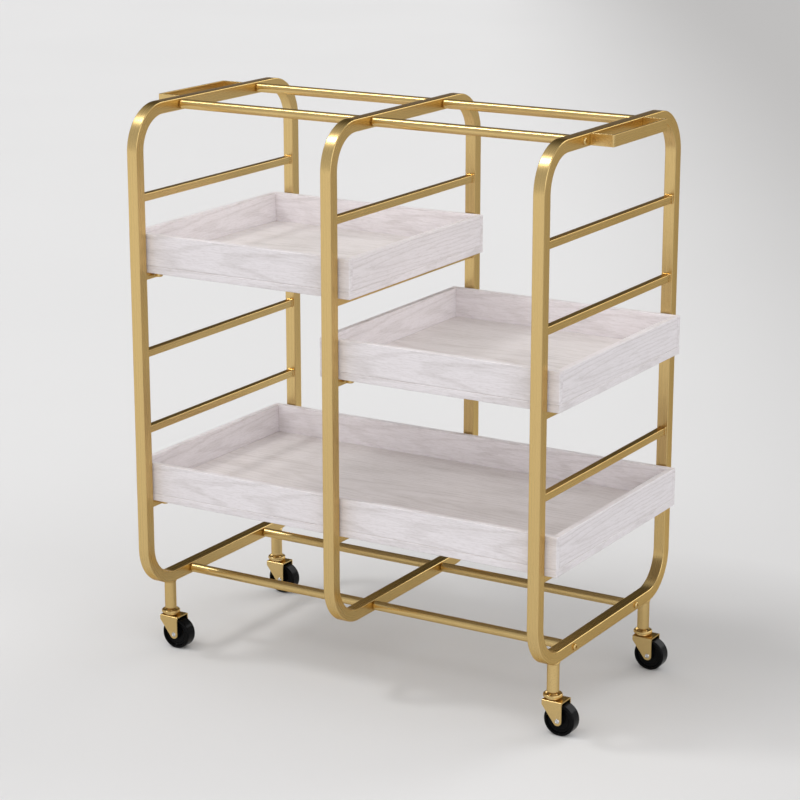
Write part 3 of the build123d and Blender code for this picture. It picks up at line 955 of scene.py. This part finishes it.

# %% [markdown]
# ## Floor
# The cart stands on a pale floor that fills the picture. Painted light makes its colour brighter toward the
# front left, painted shade makes it dimmer toward the back right, and a painted shadow lies by the cart's
# back right corner; the metal reflects this painted light and shade too. A floor this wide and pale would
# throw too much light up under the trays. So Light Path gives the pale floor to the camera and to
# reflections, and a darker one to the light that bounces.

# %% Pale floor with painted light and shade
floor_tones = (0.705, 0.701, 0.701, 1), (0.745, 0.741, 0.741, 1)
# The colours of the painted light and the painted shade on the floor.
floor_painted_light, floor_painted_shade = (0.89, 0.886, 0.886, 1), (0.475, 0.468, 0.464, 1)
floor_bounced = (0.36, 0.358, 0.356, 1)
floor_width = 60.0
# Where the painted light, the painted shade and the painted shadow beside the cart lie on the floor.
painted_light_side, painted_light_from, painted_light_to = (-0.515, -0.857, 0.0), -0.5, 4.0
painted_shade_side, painted_shade_from, painted_shade_to = (0.857, 0.515, 0.0), 0.3, 1.8
painted_shadow_place, painted_shadow_reach, painted_shadow_depth = (0.48, 0.40, 0.0), 0.55, 0.6


def toward(tree, place, side):
    """How far a place lies toward a side."""
    return combine_vectors(tree, "DOT_PRODUCT", place, side, "Value")


floor = start(bpy.ops.mesh.primitive_plane_add, "floor", size=floor_width)
floor_finish, floor_tree, floor_shader = new_material("pale floor")
floor_place = add_node(floor_tree, "ShaderNodeTexCoord").outputs["Object"]
floor_noise = add_node(floor_tree, "ShaderNodeTexNoise", Vector=floor_place, Scale=0.7, Detail=2.0)
plain = blend(floor_tree, floor_noise.outputs[0], *floor_tones)
# Painted light toward the front left, painted shade toward the back right and a painted shadow by the
# cart's back right corner are mixed into the floor's colour.
painted_light_mask = spread(floor_tree, toward(floor_tree, floor_place, painted_light_side), painted_light_from, painted_light_to,
                  kind="SMOOTHSTEP")
painted_shade_mask = spread(floor_tree, toward(floor_tree, floor_place, painted_shade_side), painted_shade_from, painted_shade_to, kind="SMOOTHSTEP")
from_painted_shadow = combine_vectors(floor_tree, "DISTANCE", floor_place, painted_shadow_place, "Value")
painted_shadow_mask = spread(floor_tree, from_painted_shadow, 0.0, painted_shadow_reach, painted_shadow_depth, 0.0, kind="SMOOTHSTEP")
floor_with_painted_light = blend(floor_tree, painted_light_mask, plain, floor_painted_light)
shown = blend(floor_tree, combine(floor_tree, "MAXIMUM", painted_shade_mask, painted_shadow_mask), floor_with_painted_light, floor_painted_shade)
rays = add_node(floor_tree, "ShaderNodeLightPath").outputs
looked_at = combine(floor_tree, "MAXIMUM", rays["Is Camera Ray"], rays["Is Glossy Ray"])
seen = combine(floor_tree, "MAXIMUM", rays["Is Transmission Ray"], looked_at)
floor_tree.links.new(blend(floor_tree, seen, floor_bounced, shown), floor_shader.inputs["Base Color"])
floor_shader.inputs["Roughness"].default_value = 0.9
floor_shader.inputs["Specular IOR Level"].default_value = 0.1
floor.data.materials.append(floor_finish)
print("floor:", floor_finish.name)

# %% [markdown]
# ## Lamps
# Five distant lamps light the cart evenly from all round. The front lamp is the smallest and draws the
# bright streaks on the bends and rods. The back lamp lights the tray bottoms, and the side lamp the right
# end. The fill lamp lights the front and the rear lamp the left end and the back, both softly and from a
# wide disc. In shiny metal such discs would show as broad white bands, so these two are left out of
# reflections.

# %% Five soft lamps
lamp_distance = 3


def soft_lamp(name, side, strength, width, in_reflections=True):
    """A distant lamp that shines from a side, with a disc of a width in degrees."""
    bpy.ops.object.light_add(type="SUN", location=lamp_distance * Vector(side))
    lamp = bpy.context.object
    lamp.name = name
    lamp.data.energy = strength
    lamp.data.angle = math.radians(width)
    lamp.rotation_euler = (-Vector(side)).to_track_quat("-Z", "Y").to_euler()
    lamp.visible_glossy = in_reflections


soft_lamp("front lamp", side=(-0.48, -0.25, 0.83), strength=0.56, width=10)
soft_lamp("back lamp", side=(0.30, 0.78, 0.55), strength=0.65, width=40)
soft_lamp("fill lamp", side=(-0.12, -0.90, 0.42), strength=1.15, width=85, in_reflections=False)
soft_lamp("side lamp", side=(0.85, -0.30, 0.43), strength=0.95, width=70)
soft_lamp("rear lamp", side=(-0.80, 0.45, 0.40), strength=0.55, width=60, in_reflections=False)

# %% [markdown]
# ## Sky
# The sky stands for the white walls of a studio, and is a little darker overhead. A dark patch in it,
# raised above the horizon behind the cart, stands for the card that photographers use: shiny metal has no
# shape without something dark to reflect.

# %% Studio sky
sky_foot, sky_top, top_height = (0.70, 0.697, 0.695, 1), (0.48, 0.48, 0.48, 1), 0.8
card_side = Vector((-0.45, 0.84, 0.30)).normalized()
card_tone = (0.08, 0.08, 0.08, 1)
card_rim, card_heart = 0.72, 0.95
card_foot, card_full = 0.08, 0.16
straight_up = (0.0, 0.0, 1.0)
world = bpy.context.scene.world or bpy.data.worlds.new("studio")
bpy.context.scene.world = world
world.use_nodes = True
sky = world.node_tree
sky_place = add_node(sky, "ShaderNodeTexCoord").outputs["Generated"]
sky_height = toward(sky, sky_place, straight_up)
sky_even = blend(sky, spread(sky, sky_height, 0.0, top_height), sky_foot, sky_top)
card = spread(sky, toward(sky, sky_place, card_side), card_rim, card_heart)
raised_card = combine(sky, "MULTIPLY", card, spread(sky, sky_height, card_foot, card_full))
sky_colour = blend(sky, raised_card, sky_even, card_tone)
sky.links.new(sky_colour, sky.nodes["Background"].inputs["Color"])
sky.nodes["Background"].inputs["Strength"].default_value = 1.0
print("sky:", world.name)

# %% [markdown]
# ## Camera
# The picture is taken from the front and the right, a little above the cart, with a long lens. The
# angles, the distance and the point that the lens looks at were worked out from the edges of the cart in
# the photograph. The lens isn't shifted, so that the cart stays in the middle when it is viewed from
# other sides.

# %% Camera
camera_azimuth, camera_rise = math.radians(30.99), math.radians(15.33)
camera_distance, far_limit = 3.8927, 200.0
camera_target = Vector((-0.0213, 0.0222, 0.4254))
focal_pixels, image_pixels, sensor_width = 2424.8, 800.0, 36.0
bpy.ops.object.camera_add()
camera = bpy.context.object
back = Vector((math.sin(camera_azimuth) * math.cos(camera_rise),
               -math.cos(camera_azimuth) * math.cos(camera_rise), math.sin(camera_rise)))
camera.location = camera_target + back * camera_distance
camera.rotation_euler = (-back).to_track_quat("-Z", "Y").to_euler()
camera.data.sensor_width = sensor_width
camera.data.lens = focal_pixels / image_pixels * sensor_width
camera.data.clip_end = far_limit
bpy.context.scene.camera = camera
bpy.context.scene.view_settings.view_transform = "Standard"
print("camera:", [round(v, 3) for v in camera.location], "lens", round(camera.data.lens, 2), "mm")
